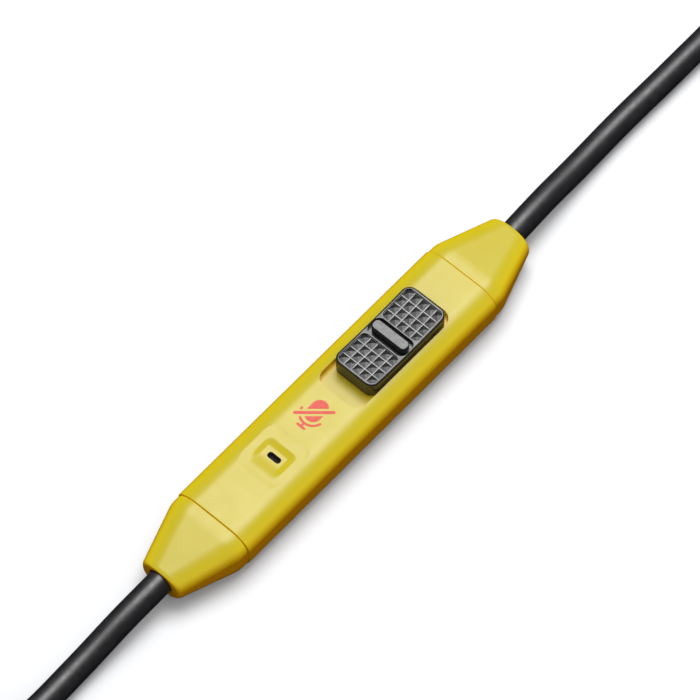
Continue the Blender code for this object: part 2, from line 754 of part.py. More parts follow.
def make_source_end():
    near, far = SOURCE_NEAR, SOURCE_NEAR - SOURCE_RUN
    make_lead("source", SOURCE_ROUTE)
    plug_place = (near - 0.6, 8.0, SOURCE_PLUG_HEIGHT)
    reach = RELIEF_LENGTH + HANDLE_LENGTH + SHAFT_LENGTH
    sides = (plug_place[1] - 3.0, FOLD_RADIUS)
    notch = ((plug_place[0] - reach - 1.4, near - 0.3), sides, (SOURCE_PLUG_HEIGHT - 2.8, 15.0))
    make_hank("source", near, far, SOURCE_HANK_TOP, notch)
    make_tie("source", (near + far) / 2, SOURCE_HANK_TOP)
    make_plug("source", plug_place, -1, ["ring_1", "ring_2"])


# ---------------------------------------------------------------- the model

clear_scene()
PARTS = new_collection("inline_microphone_control")
TOOLS = new_collection("cutters")

YELLOW = new_material("yellow_plastic", (0.72, 0.60, 0.02), 0.45)
BLACK_KNOB = new_material("black_knob", (0.02, 0.02, 0.02), 0.35)
BLACK_JACKET = new_material("black_jacket", (0.015, 0.015, 0.016), 0.45)
BLACK_RUBBER = new_material("black_rubber", (0.02, 0.02, 0.02), 0.7)
BLACK_PLUG = new_material("black_plug", (0.018, 0.018, 0.018), 0.4)
TIE_FABRIC = new_material("tie_fabric", (0.03, 0.03, 0.03), 0.9)
GOLD = new_material("gold", (0.80, 0.58, 0.22), 0.25, 1.0)
TIN = new_material("tin", (0.62, 0.62, 0.60), 0.35, 1.0)
BRASS = new_material("brass", (0.70, 0.50, 0.20), 0.35, 1.0)
BOARD_GREEN = new_material("board", (0.02, 0.17, 0.06), 0.5)
DARK_CHIP = new_material("dark_chip", (0.03, 0.03, 0.03), 0.5)
TAN_CHIP = new_material("tan_chip", (0.45, 0.33, 0.20), 0.5)
WHITE_PLASTIC = new_material("white_plastic", (0.75, 0.74, 0.70), 0.5)
MESH_GREY = new_material("mesh_grey", (0.25, 0.25, 0.25), 0.8)
WIRE_COLOURS = [
    new_material(name, colour, 0.5)
    for name, colour in (
        ("wire_red", (0.5, 0.03, 0.02)),
        ("wire_green", (0.02, 0.25, 0.07)),
        ("wire_copper", (0.6, 0.3, 0.12)),
        ("wire_blue", (0.03, 0.08, 0.45)),
    )
]

HOUSING = new_empty("housing", (0.0, 0.0, 0.0))
SLIDER = new_empty("mute_slide", (KNOB_X, 0.0, RECESS_FLOOR), HOUSING)

make_front_shell()
make_rear_shell()
make_end_cap("headset_end_cap", 1)
make_end_cap("source_end_cap", -1)
make_lead_end("headset", 1, WIRE_COLOURS[:3])
make_lead_end("source", -1, WIRE_COLOURS)
make_circuit_board()
make_microphone()
make_switch()
make_knob()
make_knob_retainer()
make_headset_end()
make_source_end()
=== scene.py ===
"""The finished look of the in-line microphone and mute control, its lead and its plugs.

Dimensions are written in millimetres and turned into metres by the helpers.
"""
import json
import math

import bmesh
import bpy
import numpy as np
from mathutils import Matrix, Vector


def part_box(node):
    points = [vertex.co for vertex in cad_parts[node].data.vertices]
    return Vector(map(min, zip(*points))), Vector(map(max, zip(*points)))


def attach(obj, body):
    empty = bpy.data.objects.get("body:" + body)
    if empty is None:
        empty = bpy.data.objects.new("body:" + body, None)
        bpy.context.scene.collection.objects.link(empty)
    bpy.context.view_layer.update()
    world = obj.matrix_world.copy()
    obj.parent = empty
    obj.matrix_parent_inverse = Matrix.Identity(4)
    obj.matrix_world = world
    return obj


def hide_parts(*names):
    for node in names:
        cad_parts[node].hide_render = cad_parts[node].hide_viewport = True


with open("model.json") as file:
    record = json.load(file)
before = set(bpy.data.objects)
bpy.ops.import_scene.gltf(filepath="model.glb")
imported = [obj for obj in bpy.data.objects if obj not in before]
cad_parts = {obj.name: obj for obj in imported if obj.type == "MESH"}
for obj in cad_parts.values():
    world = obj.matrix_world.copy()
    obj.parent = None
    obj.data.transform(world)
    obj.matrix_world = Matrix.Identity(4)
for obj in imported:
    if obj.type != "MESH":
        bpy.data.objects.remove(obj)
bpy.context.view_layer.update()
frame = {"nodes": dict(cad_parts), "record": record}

MM = 0.001

# ---- camera

CAMERA_AZIMUTH = math.radians(-48.3)
CAMERA_ELEVATION = math.radians(61.0)
CAMERA_DISTANCE = 800.0
CAMERA_LENS = 311.7
CAMERA_TARGET = Vector((7.2, 4.43, 3.5))


def camera_direction():
    """From the target towards the camera."""
    flat = math.cos(CAMERA_ELEVATION)
    return Vector(
        (math.sin(CAMERA_AZIMUTH) * flat, -math.cos(CAMERA_AZIMUTH) * flat, math.sin(CAMERA_ELEVATION))
    )


def add_camera():
    data = bpy.data.cameras.new("camera")
    data.lens = CAMERA_LENS
    data.sensor_width = 36.0
    data.clip_start = 0.05
    data.clip_end = 20.0
    camera = bpy.data.objects.new("camera", data)
    bpy.context.scene.collection.objects.link(camera)
    camera.location = (CAMERA_TARGET + CAMERA_DISTANCE * camera_direction()) * MM
    camera.rotation_euler = (-camera_direction()).to_track_quat("-Z", "Y").to_euler()
    bpy.context.scene.camera = camera


add_camera()

# ---- sizes taken from the frame


def node_box(name):
    """A CAD node's lowest and highest corners, in millimetres."""
    low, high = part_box(name)
    return low / MM, high / MM


FRONT_LOW, FRONT_HIGH = node_box("front_shell")
CAP_LOW, CAP_HIGH = node_box("headset_end_cap")
KNOB_LOW, KNOB_HIGH = node_box("mute_knob")
HALF_BODY = node_box("rear_shell")[1].x
BODY_WIDTH = FRONT_HIGH.y - FRONT_LOW.y
BODY_HEIGHT = FRONT_HIGH.z
BODY_CORNER = 2.5
BODY_SECTION = (BODY_WIDTH, BODY_HEIGHT, BODY_CORNER)
CROWN = 1.34  # how much wider than high the rounding of the upper corners is
WALL = 1.1
REAR_TOP = 1.2  # height of the seam between the shells
LEAD_HEIGHT = BODY_HEIGHT / 2
LEAD_RADIUS = 1.8

# ---- mesh helpers


def link(obj):
    bpy.context.scene.collection.objects.link(obj)
    return obj


def mesh_object(name, shape):
    """Turns a bmesh in millimetres into an object in metres, with its faces turned outwards."""
    bmesh.ops.recalc_face_normals(shape, faces=shape.faces)
    bmesh.ops.scale(shape, vec=(MM, MM, MM), verts=shape.verts)
    mesh = bpy.data.meshes.new(name)
    shape.to_mesh(mesh)
    shape.free()
    return link(bpy.data.objects.new(name, mesh))


def modify(obj, kind, **settings):
    modifier = obj.modifiers.new(kind.lower(), kind)
    for key, value in settings.items():
        setattr(modifier, key, value)
    return modifier


def apply_modifiers(obj):
    """Replaces the object's mesh by its evaluated one."""
    bpy.context.view_layer.update()
    evaluated = obj.evaluated_get(bpy.context.evaluated_depsgraph_get())
    mesh = bpy.data.meshes.new_from_object(evaluated)
    obj.modifiers.clear()
    obj.data = mesh
    return obj


def combine(obj, operation, *tools):
    for tool in tools:
        modify(obj, "BOOLEAN", operation=operation, object=tool, solver="EXACT")
    apply_modifiers(obj)
    for tool in tools:
        bpy.data.objects.remove(tool, do_unlink=True)
    return obj


def cut(obj, *tools):
    return combine(obj, "DIFFERENCE", *tools)


def join(obj, *tools):
    return combine(obj, "UNION", *tools)


def soften(obj, width, angle=35, segments=3):
    """Rounds the edges sharper than an angle."""
    limit = {"limit_method": "ANGLE", "angle_limit": math.radians(angle)}
    modify(obj, "BEVEL", width=width * MM, segments=segments, miter_outer="MITER_ARC", **limit)
    return apply_modifiers(obj)


def shade(obj, angle=40):
    """Smooth shading that keeps flat faces flat."""
    obj.data.shade_smooth()
    obj.data.set_sharp_from_angle(angle=math.radians(angle))
    modify(obj, "WEIGHTED_NORMAL", keep_sharp=True, weight=50)
    return apply_modifiers(obj)


def smooth_step(fraction):
    return fraction**2 * (3 - 2 * fraction)


def between(a, b, fraction):
    return [first + (second - first) * fraction for first, second in zip(a, b)]


def shrunk(size, inset):
    """A rounded rectangle's length, width and corner radius, moved in all round."""
    length, width, corner = size
    return length - 2 * inset, width - 2 * inset, corner - inset


def rounded_rectangle(length, width, radius, centre=(0.0, 0.0), steps=12, crown=1.0):
    """Corner arcs of a rounded rectangle, anticlockwise; the upper ones are crown times as long."""
    points = []
    for quarter in range(4):
        reach = radius * crown if quarter in (0, 1) else radius
        across = length / 2 - reach if quarter in (0, 3) else reach - length / 2
        along = width / 2 - radius if quarter in (0, 1) else radius - width / 2
        for step in range(steps + 1):
            angle = (quarter + step / steps) * math.pi / 2
            x = centre[0] + across + reach * math.cos(angle)
            y = centre[1] + along + radius * math.sin(angle)
            points.append((x, y))
    return points


PLACERS = {  # outline point and height along the axis, to a place
    "Z": lambda a, b, t: (a, b, t),
    "X": lambda a, b, t: (t, a, b),
    "Y": lambda a, b, t: (a, t, b),
}


def prism(name, outline, low, high, axis="Z"):
    """A flat outline extruded from low to high along an axis."""
    place = PLACERS[axis]
    shape = bmesh.new()
    lower = [shape.verts.new(place(a, b, low)) for a, b in outline]
    upper = [shape.verts.new(place(a, b, high)) for a, b in outline]
    bridge(shape, lower, upper)
    shape.faces.new(lower)
    shape.faces.new(upper)
    return mesh_object(name, shape)


def bridge(shape, lower, upper):
    count = len(lower)
    for i in range(count):
        j = (i + 1) % count
        shape.faces.new((lower[i], lower[j], upper[j], upper[i]))


def bridge_all(shape, rings):
    for lower, upper in zip(rings, rings[1:]):
        bridge(shape, lower, upper)


def loft(name, sections, to_place, steps=12, closed=False, crown=1.0):
    """A skin over rounded rectangles, given as (distance, width, height, corner radius).

    A closed skin joins its last section to its first, as a ring does.
    """
    shape = bmesh.new()
    rings = []
    for distance, width, height, radius in sections:
        outline = rounded_rectangle(width, height, radius, steps=steps, crown=crown)
        rings.append([shape.verts.new(to_place(distance, a, b)) for a, b in outline])
    bridge_all(shape, rings)
    if closed:
        bridge(shape, rings[-1], rings[0])
    else:
        shape.faces.new(rings[0])
        shape.faces.new(rings[-1])
    return mesh_object(name, shape)


def turned(name, profile, start, direction, sides=48):
    """A profile of (distance, radius) turned about the line through start along +X or -X."""
    shape = bmesh.new()
    rings = []
    for distance, radius in profile:
        x = start[0] + direction * distance
        if radius == 0.0:
            rings.append([shape.verts.new((x, start[1], start[2]))])
            continue
        ring = []
        for side in range(sides):
            angle = math.tau * side / sides
            y, z = start[1] + radius * math.cos(angle), start[2] + radius * math.sin(angle)
            ring.append(shape.verts.new((x, y, z)))
        rings.append(ring)
    for lower, upper in zip(rings, rings[1:]):
        if 1 in (len(lower), len(upper)):
            centre, ring = sorted((lower, upper), key=len)
            for i in range(sides):
                shape.faces.new((centre[0], ring[i], ring[(i + 1) % sides]))
        else:
            bridge(shape, lower, upper)
    return mesh_object(name, shape)


def fillet(start, end, hollow=False, steps=4):
    """Points of a quarter ellipse between two profile points, convex or else hollow."""
    points = []
    for step in range(1, steps + 1):
        angle = math.pi / 2 * step / steps
        a, b = math.sin(angle), 1 - math.cos(angle)
        if hollow:
            a, b = 1 - math.cos(angle), math.sin(angle)
        points.append((start[0] + (end[0] - start[0]) * a, start[1] + (end[1] - start[1]) * b))
    return points


def smooth_route(points, spacing):
    """Evenly spaced points on the natural cubic curve through the given ones."""
    points = np.array(points, float)
    steps = np.linalg.norm(np.diff(points, axis=0), axis=1)
    knots = np.concatenate([[0.0], np.cumsum(steps)])
    system = np.eye(len(points))
    slopes = np.diff(points, axis=0) / steps[:, None]
    right = np.zeros_like(points)
    for i in range(1, len(points) - 1):
        system[i, i - 1 : i + 2] = steps[i - 1], 2 * (steps[i - 1] + steps[i]), steps[i]
        right[i] = 6 * (slopes[i] - slopes[i - 1])
    bend = np.linalg.solve(system, right)
    route = []
    for place in np.linspace(0.0, knots[-1], max(2, round(knots[-1] / spacing) + 1)):
        i = min(int(np.searchsorted(knots, place, side="right")) - 1, len(steps) - 1)
        after, before = place - knots[i], knots[i + 1] - place
        straight = (points[i] * before + points[i + 1] * after) / steps[i]
        curved = bend[i] * (before**3 / steps[i] - before * steps[i])
        curved += bend[i + 1] * (after**3 / steps[i] - after * steps[i])
        route.append(straight + curved / 6)
    return route


# ---- materials


class Shader:
    """A Principled material and short ways to feed it from procedural textures."""

    def __init__(self, name, colour, roughness, metallic=0.0, specular=0.5):
        self.material = bpy.data.materials.new(name)
        self.material.use_nodes = True
        self.tree = self.material.node_tree
        self.shader = self.tree.nodes["Principled BSDF"]
        self.colour = (*colour, 1.0)
        self.set("Base Color", self.colour)
        self.set("Roughness", roughness)
        self.set("Metallic", metallic)
        self.set("Specular IOR Level", specular)
        self.place = self.node("ShaderNodeTexCoord").outputs["Object"]
        self.height = None

    def set(self, socket, value):
        self.shader.inputs[socket].default_value = value

    def node(self, kind, **settings):
        node = self.tree.nodes.new(kind)
        for key, value in settings.items():
            setattr(node, key, value)
        return node

    def wire(self, source, target):
        self.tree.links.new(source, target)

    def stretched(self, scale):
        """The object's coordinates, scaled differently along each axis."""
        mapping = self.node("ShaderNodeMapping")
        mapping.inputs["Scale"].default_value = scale
        self.wire(self.place, mapping.inputs["Vector"])
        return mapping.outputs["Vector"]

    def noise(self, size, detail=3.0, roughness=0.55, vector=None):
        """Noise whose features are about size millimetres across."""
        node = self.node("ShaderNodeTexNoise")
        node.inputs["Scale"].default_value = 1.0 / (size * MM)
        node.inputs["Detail"].default_value = detail
        node.inputs["Roughness"].default_value = roughness
        self.wire(vector or self.place, node.inputs["Vector"])
        return node.outputs["Fac"]

    def cells(self, size):
        node = self.node("ShaderNodeTexVoronoi")
        node.inputs["Scale"].default_value = 1.0 / (size * MM)
        self.wire(self.place, node.inputs["Vector"])
        return node.outputs["Distance"]

    def mapped(self, value, from_low, from_high, to_low, to_high):
        node = self.node("ShaderNodeMapRange")
        ends = {"From Min": from_low, "From Max": from_high, "To Min": to_low, "To Max": to_high}
        for socket, number in ends.items():
            node.inputs[socket].default_value = number
        self.wire(value, node.inputs["Value"])
        return node.outputs["Result"]

    def tint(self, amount, other):
        """Mixes another colour into the base colour by a texture."""
        mix = self.node("ShaderNodeMix", data_type="RGBA")
        base = self.shader.inputs["Base Color"]
        if base.is_linked:
            self.wire(base.links[0].from_socket, mix.inputs["A"])
        else:
            mix.inputs["A"].default_value = self.colour
        mix.inputs["B"].default_value = (*other, 1.0)
        self.wire(amount, mix.inputs["Factor"])
        self.wire(mix.outputs["Result"], base)

    def mottle(self, other, amount, size, detail, low, high):
        """Mixes in patches of another colour, about size millimetres across."""
        self.tint(self.mapped(self.noise(size, detail), low, high, 0.0, amount), other)

    def rough(self, value, low, high, spread=0.3):
        """Roughness that follows a texture around the middle of its range."""
        followed = self.mapped(value, 0.5 - spread, 0.5 + spread, low, high)
        self.wire(followed, self.shader.inputs["Roughness"])

    def bump(self, value, depth, strength=1.0):
        """A fine relief, depth millimetres high, on top of the earlier ones."""
        node = self.node("ShaderNodeBump")
        node.inputs["Strength"].default_value = strength
        node.inputs["Distance"].default_value = depth * MM
        self.wire(value, node.inputs["Height"])
        if self.height:
            self.wire(self.height, node.inputs["Normal"])
        self.height = node.outputs["Normal"]
        self.wire(self.height, self.shader.inputs["Normal"])

    def facing(self):
        """The surface's normal as X, Y and Z."""
        node = self.node("ShaderNodeSeparateXYZ")
        self.wire(self.node("ShaderNodeNewGeometry").outputs["Normal"], node.inputs[0])
        return node.outputs


# painted highlight: a brighter yellow where the shell starts to turn from its top
PAINTED_TURN_HIGHLIGHT = (0.58, 0.45, 0.0)
# painted shade: orange on the shell's sides
PAINTED_SIDE_SHADE = (0.62, 0.25, 0.0)
# painted bounce light: bright gold where the shell is closed in
PAINTED_HOLLOW_BOUNCE = (0.88, 0.56, 0.0)


def yellow_plastic():
    """Moulded yellow shell: spark-eroded grain, faint flow clouds and a few dust specks, with painted
    highlight, shade and bounce light laid over them by facing and occlusion.
    """
    look = Shader("yellow_plastic", (0.40, 0.328, 0.001), 0.36, specular=0.52)
    look.mottle((0.372, 0.300, 0.002), 0.35, 6.0, 2.0, 0.35, 0.7)
    look.mottle((0.33, 0.25, 0.0), 0.12, 0.35, 4.0, 0.62, 0.78)
    # painted highlight, shade and bounce light, set by the surface's normal and its occlusion
    paint_shade_and_bounce(look)
    look.rough(look.noise(2.5, 3.0), 0.32, 0.40)
    look.bump(look.noise(0.16, 2.0, 0.6), 0.006, 0.35)
    look.bump(look.noise(1.1, 2.0), 0.01, 0.15)
    return look.material


def paint_shade_and_bounce(look):
    """Paints light and shade into the colour: a painted highlight where the surface turns from the
    top, painted orange shade on the sides, and painted bounce light where it is closed in.
    """
    upwards = look.facing()["Z"]
    # painted highlight on the faces that tilt away from the top
    look.tint(look.mapped(upwards, 0.72, 0.985, 1.0, 0.0), PAINTED_TURN_HIGHLIGHT)
    # painted shade on the sides
    look.tint(look.mapped(upwards, -0.05, 0.78, 1.0, 0.0), PAINTED_SIDE_SHADE)
    # painted bounce light where ambient occlusion finds the surface closed in
    occlusion = look.node("ShaderNodeAmbientOcclusion", samples=8, only_local=False)
    occlusion.inputs["Distance"].default_value = 2.0 * MM
    look.tint(look.mapped(occlusion.outputs["AO"], 0.15, 0.65, 1.0, 0.0), PAINTED_HOLLOW_BOUNCE)


def knob_plastic():
    """Black satin plastic, polished a little by the thumb."""
    look = Shader("knob_plastic", (0.012, 0.012, 0.012), 0.3, specular=0.7)
    look.mottle((0.03, 0.03, 0.03), 0.5, 0.5, 3.0, 0.45, 0.75)
    look.rough(look.noise(0.9, 3.0), 0.22, 0.38)
    look.bump(look.noise(0.13, 2.0, 0.6), 0.006, 0.4)
    return look.material


def grip_plastic():
    """The same plastic left coarser on the grip pads, with painted highlights on the facets that face
    -X and -Y and on the flat valleys.
    """
    look = Shader("grip_plastic", (0.008, 0.008, 0.008), 0.42, specular=0.55)
    normal = look.facing()
    # painted highlights: lighter facets facing -X and -Y and lighter flat valleys, chosen by the
    # surface's normal
    look.tint(look.mapped(normal["X"], -0.28, -0.12, 1.0, 0.0), (0.08, 0.08, 0.08))
    look.tint(look.mapped(normal["Y"], -0.28, -0.12, 1.0, 0.0), (0.15, 0.15, 0.15))
    look.tint(look.mapped(normal["Z"], 0.96, 0.985, 0.0, 1.0), (0.36, 0.36, 0.36))
    look.mottle((0.012, 0.012, 0.012), 0.6, 0.2, 4.0, 0.45, 0.65)
    look.rough(look.noise(0.5, 3.0), 0.4, 0.6)
    look.bump(look.noise(0.12, 3.0, 0.7), 0.02, 0.7)
    return look.material


def cord_jacket():
    """Black elastomer jacket: satin, with a fine drawn grain and slight unevenness."""
    look = Shader("cord_jacket", (0.008, 0.008, 0.010), 0.42, specular=1.0)
    look.mottle((0.024, 0.024, 0.027), 0.5, 1.2, 4.0, 0.45, 0.75)
    look.rough(look.noise(0.8, 4.0), 0.36, 0.52)
    look.bump(look.noise(0.22, 3.0, 0.65), 0.012, 0.45)
    look.bump(look.noise(2.2, 2.0), 0.05, 0.2)
    return look.material


def plug_plastic():
    look = Shader("plug_plastic", (0.014, 0.014, 0.015), 0.38)
    look.mottle((0.03, 0.03, 0.03), 0.4, 0.8, 3.0, 0.45, 0.75)
    look.rough(look.noise(0.7, 3.0), 0.3, 0.46)
    look.bump(look.noise(0.15, 2.0, 0.6), 0.006, 0.5)
    return look.material


def metal(name, colour, roughness, grain=(1.0, 14.0, 14.0)):
    """Plated or bare metal with fine turning or rolling marks and slight tarnish."""
    look = Shader(name, colour, roughness, metallic=1.0)
    marks = look.noise(1.2, 4.0, 0.7, vector=look.stretched(grain))
    look.rough(marks, roughness * 0.75, roughness * 1.35)
    look.bump(marks, 0.004, 0.25)
    look.mottle(tuple(0.6 * c for c in colour), 0.4, 1.5, 3.0, 0.5, 0.8)
    return look.material


def plain_plastic(name, colour, roughness, speck=0.15):
    """Small inner mouldings, boards and wires: light mottling and grain."""
    look = Shader(name, colour, roughness)
    darker = tuple(c * (1 - speck) for c in colour)
    look.mottle(darker, 0.6, 0.4, 3.0, 0.4, 0.75)
    look.rough(look.noise(0.6, 2.0), roughness - 0.08, roughness + 0.1)
    look.bump(look.noise(0.12, 2.0), 0.006, 0.4)
    return look.material


def printed_ink():
    """Salmon-red pad print, slightly grainy where the ink is thin."""
    look = Shader("printed_ink", (0.53, 0.055, 0.045), 0.5, specular=0.35)
    look.mottle((0.50, 0.16, 0.03), 0.5, 0.3, 4.0, 0.5, 0.7)
    look.rough(look.noise(0.5, 3.0), 0.42, 0.6)
    look.bump(look.noise(0.15, 2.0), 0.004, 0.5)
    return look.material


def hook_and_loop():
    """Woven strap with a short looped pile."""
    look = Shader("hook_and_loop", (0.022, 0.022, 0.024), 0.85, specular=0.25)
    pile = look.cells(0.22)
    look.tint(look.mapped(pile, 0.1, 0.6, 0.0, 0.8), (0.05, 0.05, 0.054))
    look.rough(look.noise(0.5), 0.78, 0.95)
    look.bump(pile, 0.12, 0.8)
    look.bump(look.noise(0.3, 4.0), 0.1, 0.5)
    look.set("Sheen Weight", 0.3)
    look.set("Sheen Roughness", 0.4)
    return look.material


def acoustic_mesh():
    look = Shader("acoustic_mesh", (0.005, 0.003, 0.003), 0.8, specular=0.2)
    look.tint(look.mapped(look.cells(0.16), 0.1, 0.5, 0.0, 1.0), (0.02, 0.012, 0.012))
    look.rough(look.noise(0.4), 0.7, 0.9)
    look.bump(look.cells(0.16), 0.05, 0.8)
    return look.material


MATERIALS = {
    "yellow_shell": yellow_plastic(),
    "black_knob": knob_plastic(),
    "black_jacket": cord_jacket(),
    "plug_black": plug_plastic(),
    "tie_fabric": hook_and_loop(),
    "gold": metal("gold_plating", (0.83, 0.60, 0.26), 0.22),
    "tin": metal("tinned_steel", (0.62, 0.62, 0.60), 0.35),
    "brass": metal("spring_brass", (0.72, 0.52, 0.22), 0.3),
    "mesh_grey": acoustic_mesh(),
}
PLAIN = {  # slot to colour, roughness and how much darker its specks are
    "black_rubber": ((0.02, 0.02, 0.02), 0.7),
    "board_green": ((0.015, 0.15, 0.05), 0.35, 0.4),
    "dark_chip": ((0.03, 0.03, 0.03), 0.5),
    "tan_chip": ((0.45, 0.33, 0.20), 0.5),
    "white_plastic": ((0.72, 0.71, 0.66), 0.45),
    "wire_red": ((0.5, 0.03, 0.02), 0.4),
    "wire_green": ((0.02, 0.25, 0.07), 0.4),
    "wire_copper": ((0.6, 0.3, 0.12), 0.4),
    "wire_blue": ((0.03, 0.08, 0.45), 0.4),
}
MATERIALS |= {slot: plain_plastic(slot, *look) for slot, look in PLAIN.items()}
GRIP_PLASTIC = grip_plastic()


def dress(obj, slot, material=None):
    obj.data.materials.clear()
    obj.data.materials.append(material or MATERIALS[slot])
    return obj


def dress_cad_nodes():
    """Gives every CAD node that stays visible the material of its slot."""
    for part in frame["record"]["subparts"]:
        node = frame["nodes"][part["node"]]
        node.data.materials.clear()
        node.data.materials.append(MATERIALS[part["material_slot"]])


dress_cad_nodes()

# ---- housing


END_EDGE = 0.11  # rounding where the shells and the caps meet
MITRE = 0.13  # rounding of the front shell's sharp edges
RECESS_X = (-0.55, 18.5)
RECESS = (RECESS_X[1] - RECESS_X[0], 7.6, 1.7)  # length, width and corner radius
RECESS_MIDDLE = (sum(RECESS_X) / 2, 0.0)
RECESS_FLOOR = 5.8
MIC_X = -12.6
SLOT = (0.84, 2.02, 0.36)  # length, width and corner radius of the sound slot
SLEEVE = (5.95, 6.58)  # bottom and top of the sleeve in it


def body_sections(steps=4):
    """The housing's length as sections, with a quarter-round fillet at each end."""
    ends = []
    for step in range(steps + 1):
        angle = math.pi / 2 * step / steps
        ends.append((END_EDGE * (1 - math.cos(angle)), END_EDGE * (1 - math.sin(angle))))
    sections = [(-HALF_BODY + along, inset) for along, inset in ends]
    sections += [(HALF_BODY - along, inset) for along, inset in reversed(ends)]
    return [(x, *shrunk(BODY_SECTION, inset)) for x, inset in sections]


def body_block(name):
    place = lambda x, across, up: (x, across, LEAD_HEIGHT + up)
    return loft(name, body_sections(), place, steps=20, crown=CROWN)


def seam_box(name, low, high):
    """A block wider and longer than the housing, to cut it at the seam."""
    outline = rounded_rectangle(2 * HALF_BODY + 8, BODY_WIDTH + 6, 0.5, steps=1)
    return prism(name, outline, low, high)


def recess_outline(wider=0.0):
    """The recess from above, or a hair wider on every side."""
    return rounded_rectangle(*shrunk(RECESS, -wider), centre=RECESS_MIDDLE, steps=10)


DISH_DEPTH = 0.07
DISH_RIM = (8.6, 9.6, 2.9)  # length, width and corner radius
DISH_FLOOR = (6.0, 7.0, 1.6)
POCKET_DEPTH = 0.38
POCKET_X = (-2.95, 2.1)  # its reach from the sound slot
POCKET_Y = (-2.5, 2.7)
POCKET_EASE = (2.5, 1.25, 1.05)  # how long it takes to fall at -X, at +X and at the sides


def dish_cutter(steps=8):
    """A shallow dish round the microphone, whose sides ease down to its floor."""
    sections = [(BODY_HEIGHT + 0.4, *DISH_RIM)]
    for step in range(steps + 1):
        fraction = step / steps
        height = BODY_HEIGHT + 0.002 - DISH_DEPTH * smooth_step(fraction)
        sections.append((height, *between(DISH_RIM, DISH_FLOOR, fraction)))
    return loft("dish", sections, lambda z, x, y: (MIC_X + x, y, z), steps=8)


def pocket_drop(x, y):
    """How deep the pocket is at a place, from 0 to 1."""
    from_edges = (x - POCKET_X[0], POCKET_X[1] - x, min(y - POCKET_Y[0], POCKET_Y[1] - y))
    drop = 1.0
    for distance, ease in zip(from_edges, POCKET_EASE):
        drop *= smooth_step(min(1.0, max(0.0, distance / ease)))
    return drop


def pocket_cutter():
    """The soft-edged pocket in the dish, steepest at its +X end."""
    surface = BODY_HEIGHT - DISH_DEPTH + 0.004
    shape = bmesh.new()
    columns = []
    for x in np.linspace(*POCKET_X, 39):
        column = []
        for y in np.linspace(*POCKET_Y, 43):
            height = surface - POCKET_DEPTH * pocket_drop(x, y)
            column.append(shape.verts.new((MIC_X + x, y, height)))
        columns.append(column)
    for before, after in zip(columns, columns[1:]):
        for i in range(len(before) - 1):
            shape.faces.new((before[i], before[i + 1], after[i + 1], after[i]))
    rim = columns[0] + [column[-1] for column in columns[1:-1]]
    rim += columns[-1][::-1] + [column[0] for column in columns[-2:0:-1]]
    lid = [shape.verts.new((*vert.co.xy, BODY_HEIGHT + 0.4)) for vert in rim]
    bridge(shape, rim, lid)
    shape.faces.new(lid)
    return mesh_object("pocket", shape)


def cavity_cutter():
    """The hollow of the front shell, open below."""
    depth = 8.0
    centre = (0.0, BODY_HEIGHT - WALL - depth / 2)
    outline = rounded_rectangle(
        BODY_WIDTH - 2 * WALL, depth, BODY_CORNER - WALL, centre=centre, steps=6
    )
    end = HALF_BODY - 1.3
    return prism("cavity", outline, -end, end, "X")


def add_recess_floor(shell):
    """The well under the recess, open to it above and slotted for the knob's stem."""
    well = rounded_rectangle(21.0, 9.5, 0.6, centre=RECESS_MIDDLE, steps=3)
    join(shell, prism("well", well, 5.0, RECESS_FLOOR + 0.3))
    opening = prism("opening", recess_outline(wider=0.01), RECESS_FLOOR, RECESS_FLOOR + 0.6)
    slot = rounded_rectangle(7.8, 3.0, 0.3, centre=(9.0, 0.0), steps=3)
    cut(shell, opening, prism("stem_slot", slot, 4.5, 6.5))


def make_front_shell():
    shell = body_block("front_shell_skin")
    cut(shell, seam_box("below_seam", -2.0, REAR_TOP + 0.1))
    cut(shell, dish_cutter())
    recess = prism("recess", recess_outline(), RECESS_FLOOR, BODY_HEIGHT + 1.0)
    cut(shell, pocket_cutter(), recess)
    slot = rounded_rectangle(*SLOT, centre=(MIC_X, 0.0), steps=6)
    cut(shell, prism("sound_slot", slot, 5.0, BODY_HEIGHT + 1.0))
    soften(shell, MITRE, angle=38)
    cut(shell, cavity_cutter())
    add_recess_floor(shell)
    shade(shell)
    dress(shell, "yellow_shell")
    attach(shell, "housing")
    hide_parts("front_shell")


def make_sound_sleeve():
    """The dark sleeve that lines the sound slot, just below its rounded edge."""
    outer, inner = (
        rounded_rectangle(*shrunk(SLOT, inset), centre=(MIC_X, 0.0), steps=6)
        for inset in (-0.04, 0.03)
    )
    low, high = SLEEVE
    sleeve = prism("sound_sleeve", outer, low, high)
    cut(sleeve, prism("sleeve_inside", inner, low - 0.5, high + 0.5))
    shade(sleeve)
    dress(sleeve, "black_rubber")
    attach(sleeve, "housing")


LIP_OUTSIDE = (45.6, 9.9, 1.5)  # length, width and corner radius
LIP_INSIDE = (44.4, 8.9, 1.0)
LIP_TOP = 2.3


def make_rear_shell():
    shell = body_block("rear_shell_skin")
    cut(shell, seam_box("above_seam", REAR_TOP, BODY_HEIGHT + 2.0))
    soften(shell, 0.1, angle=60, segments=2)
    shade(shell)
    lip = prism("lip", rounded_rectangle(*LIP_OUTSIDE, steps=5), REAR_TOP - 0.3, LIP_TOP)
    hollow = prism("hollow", rounded_rectangle(*LIP_INSIDE, steps=5), REAR_TOP - 0.1, LIP_TOP + 0.7)
    cut(join(shell, lip), hollow)
    shade(shell)
    dress(shell, "yellow_shell")
    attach(shell, "housing")
    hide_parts("rear_shell")


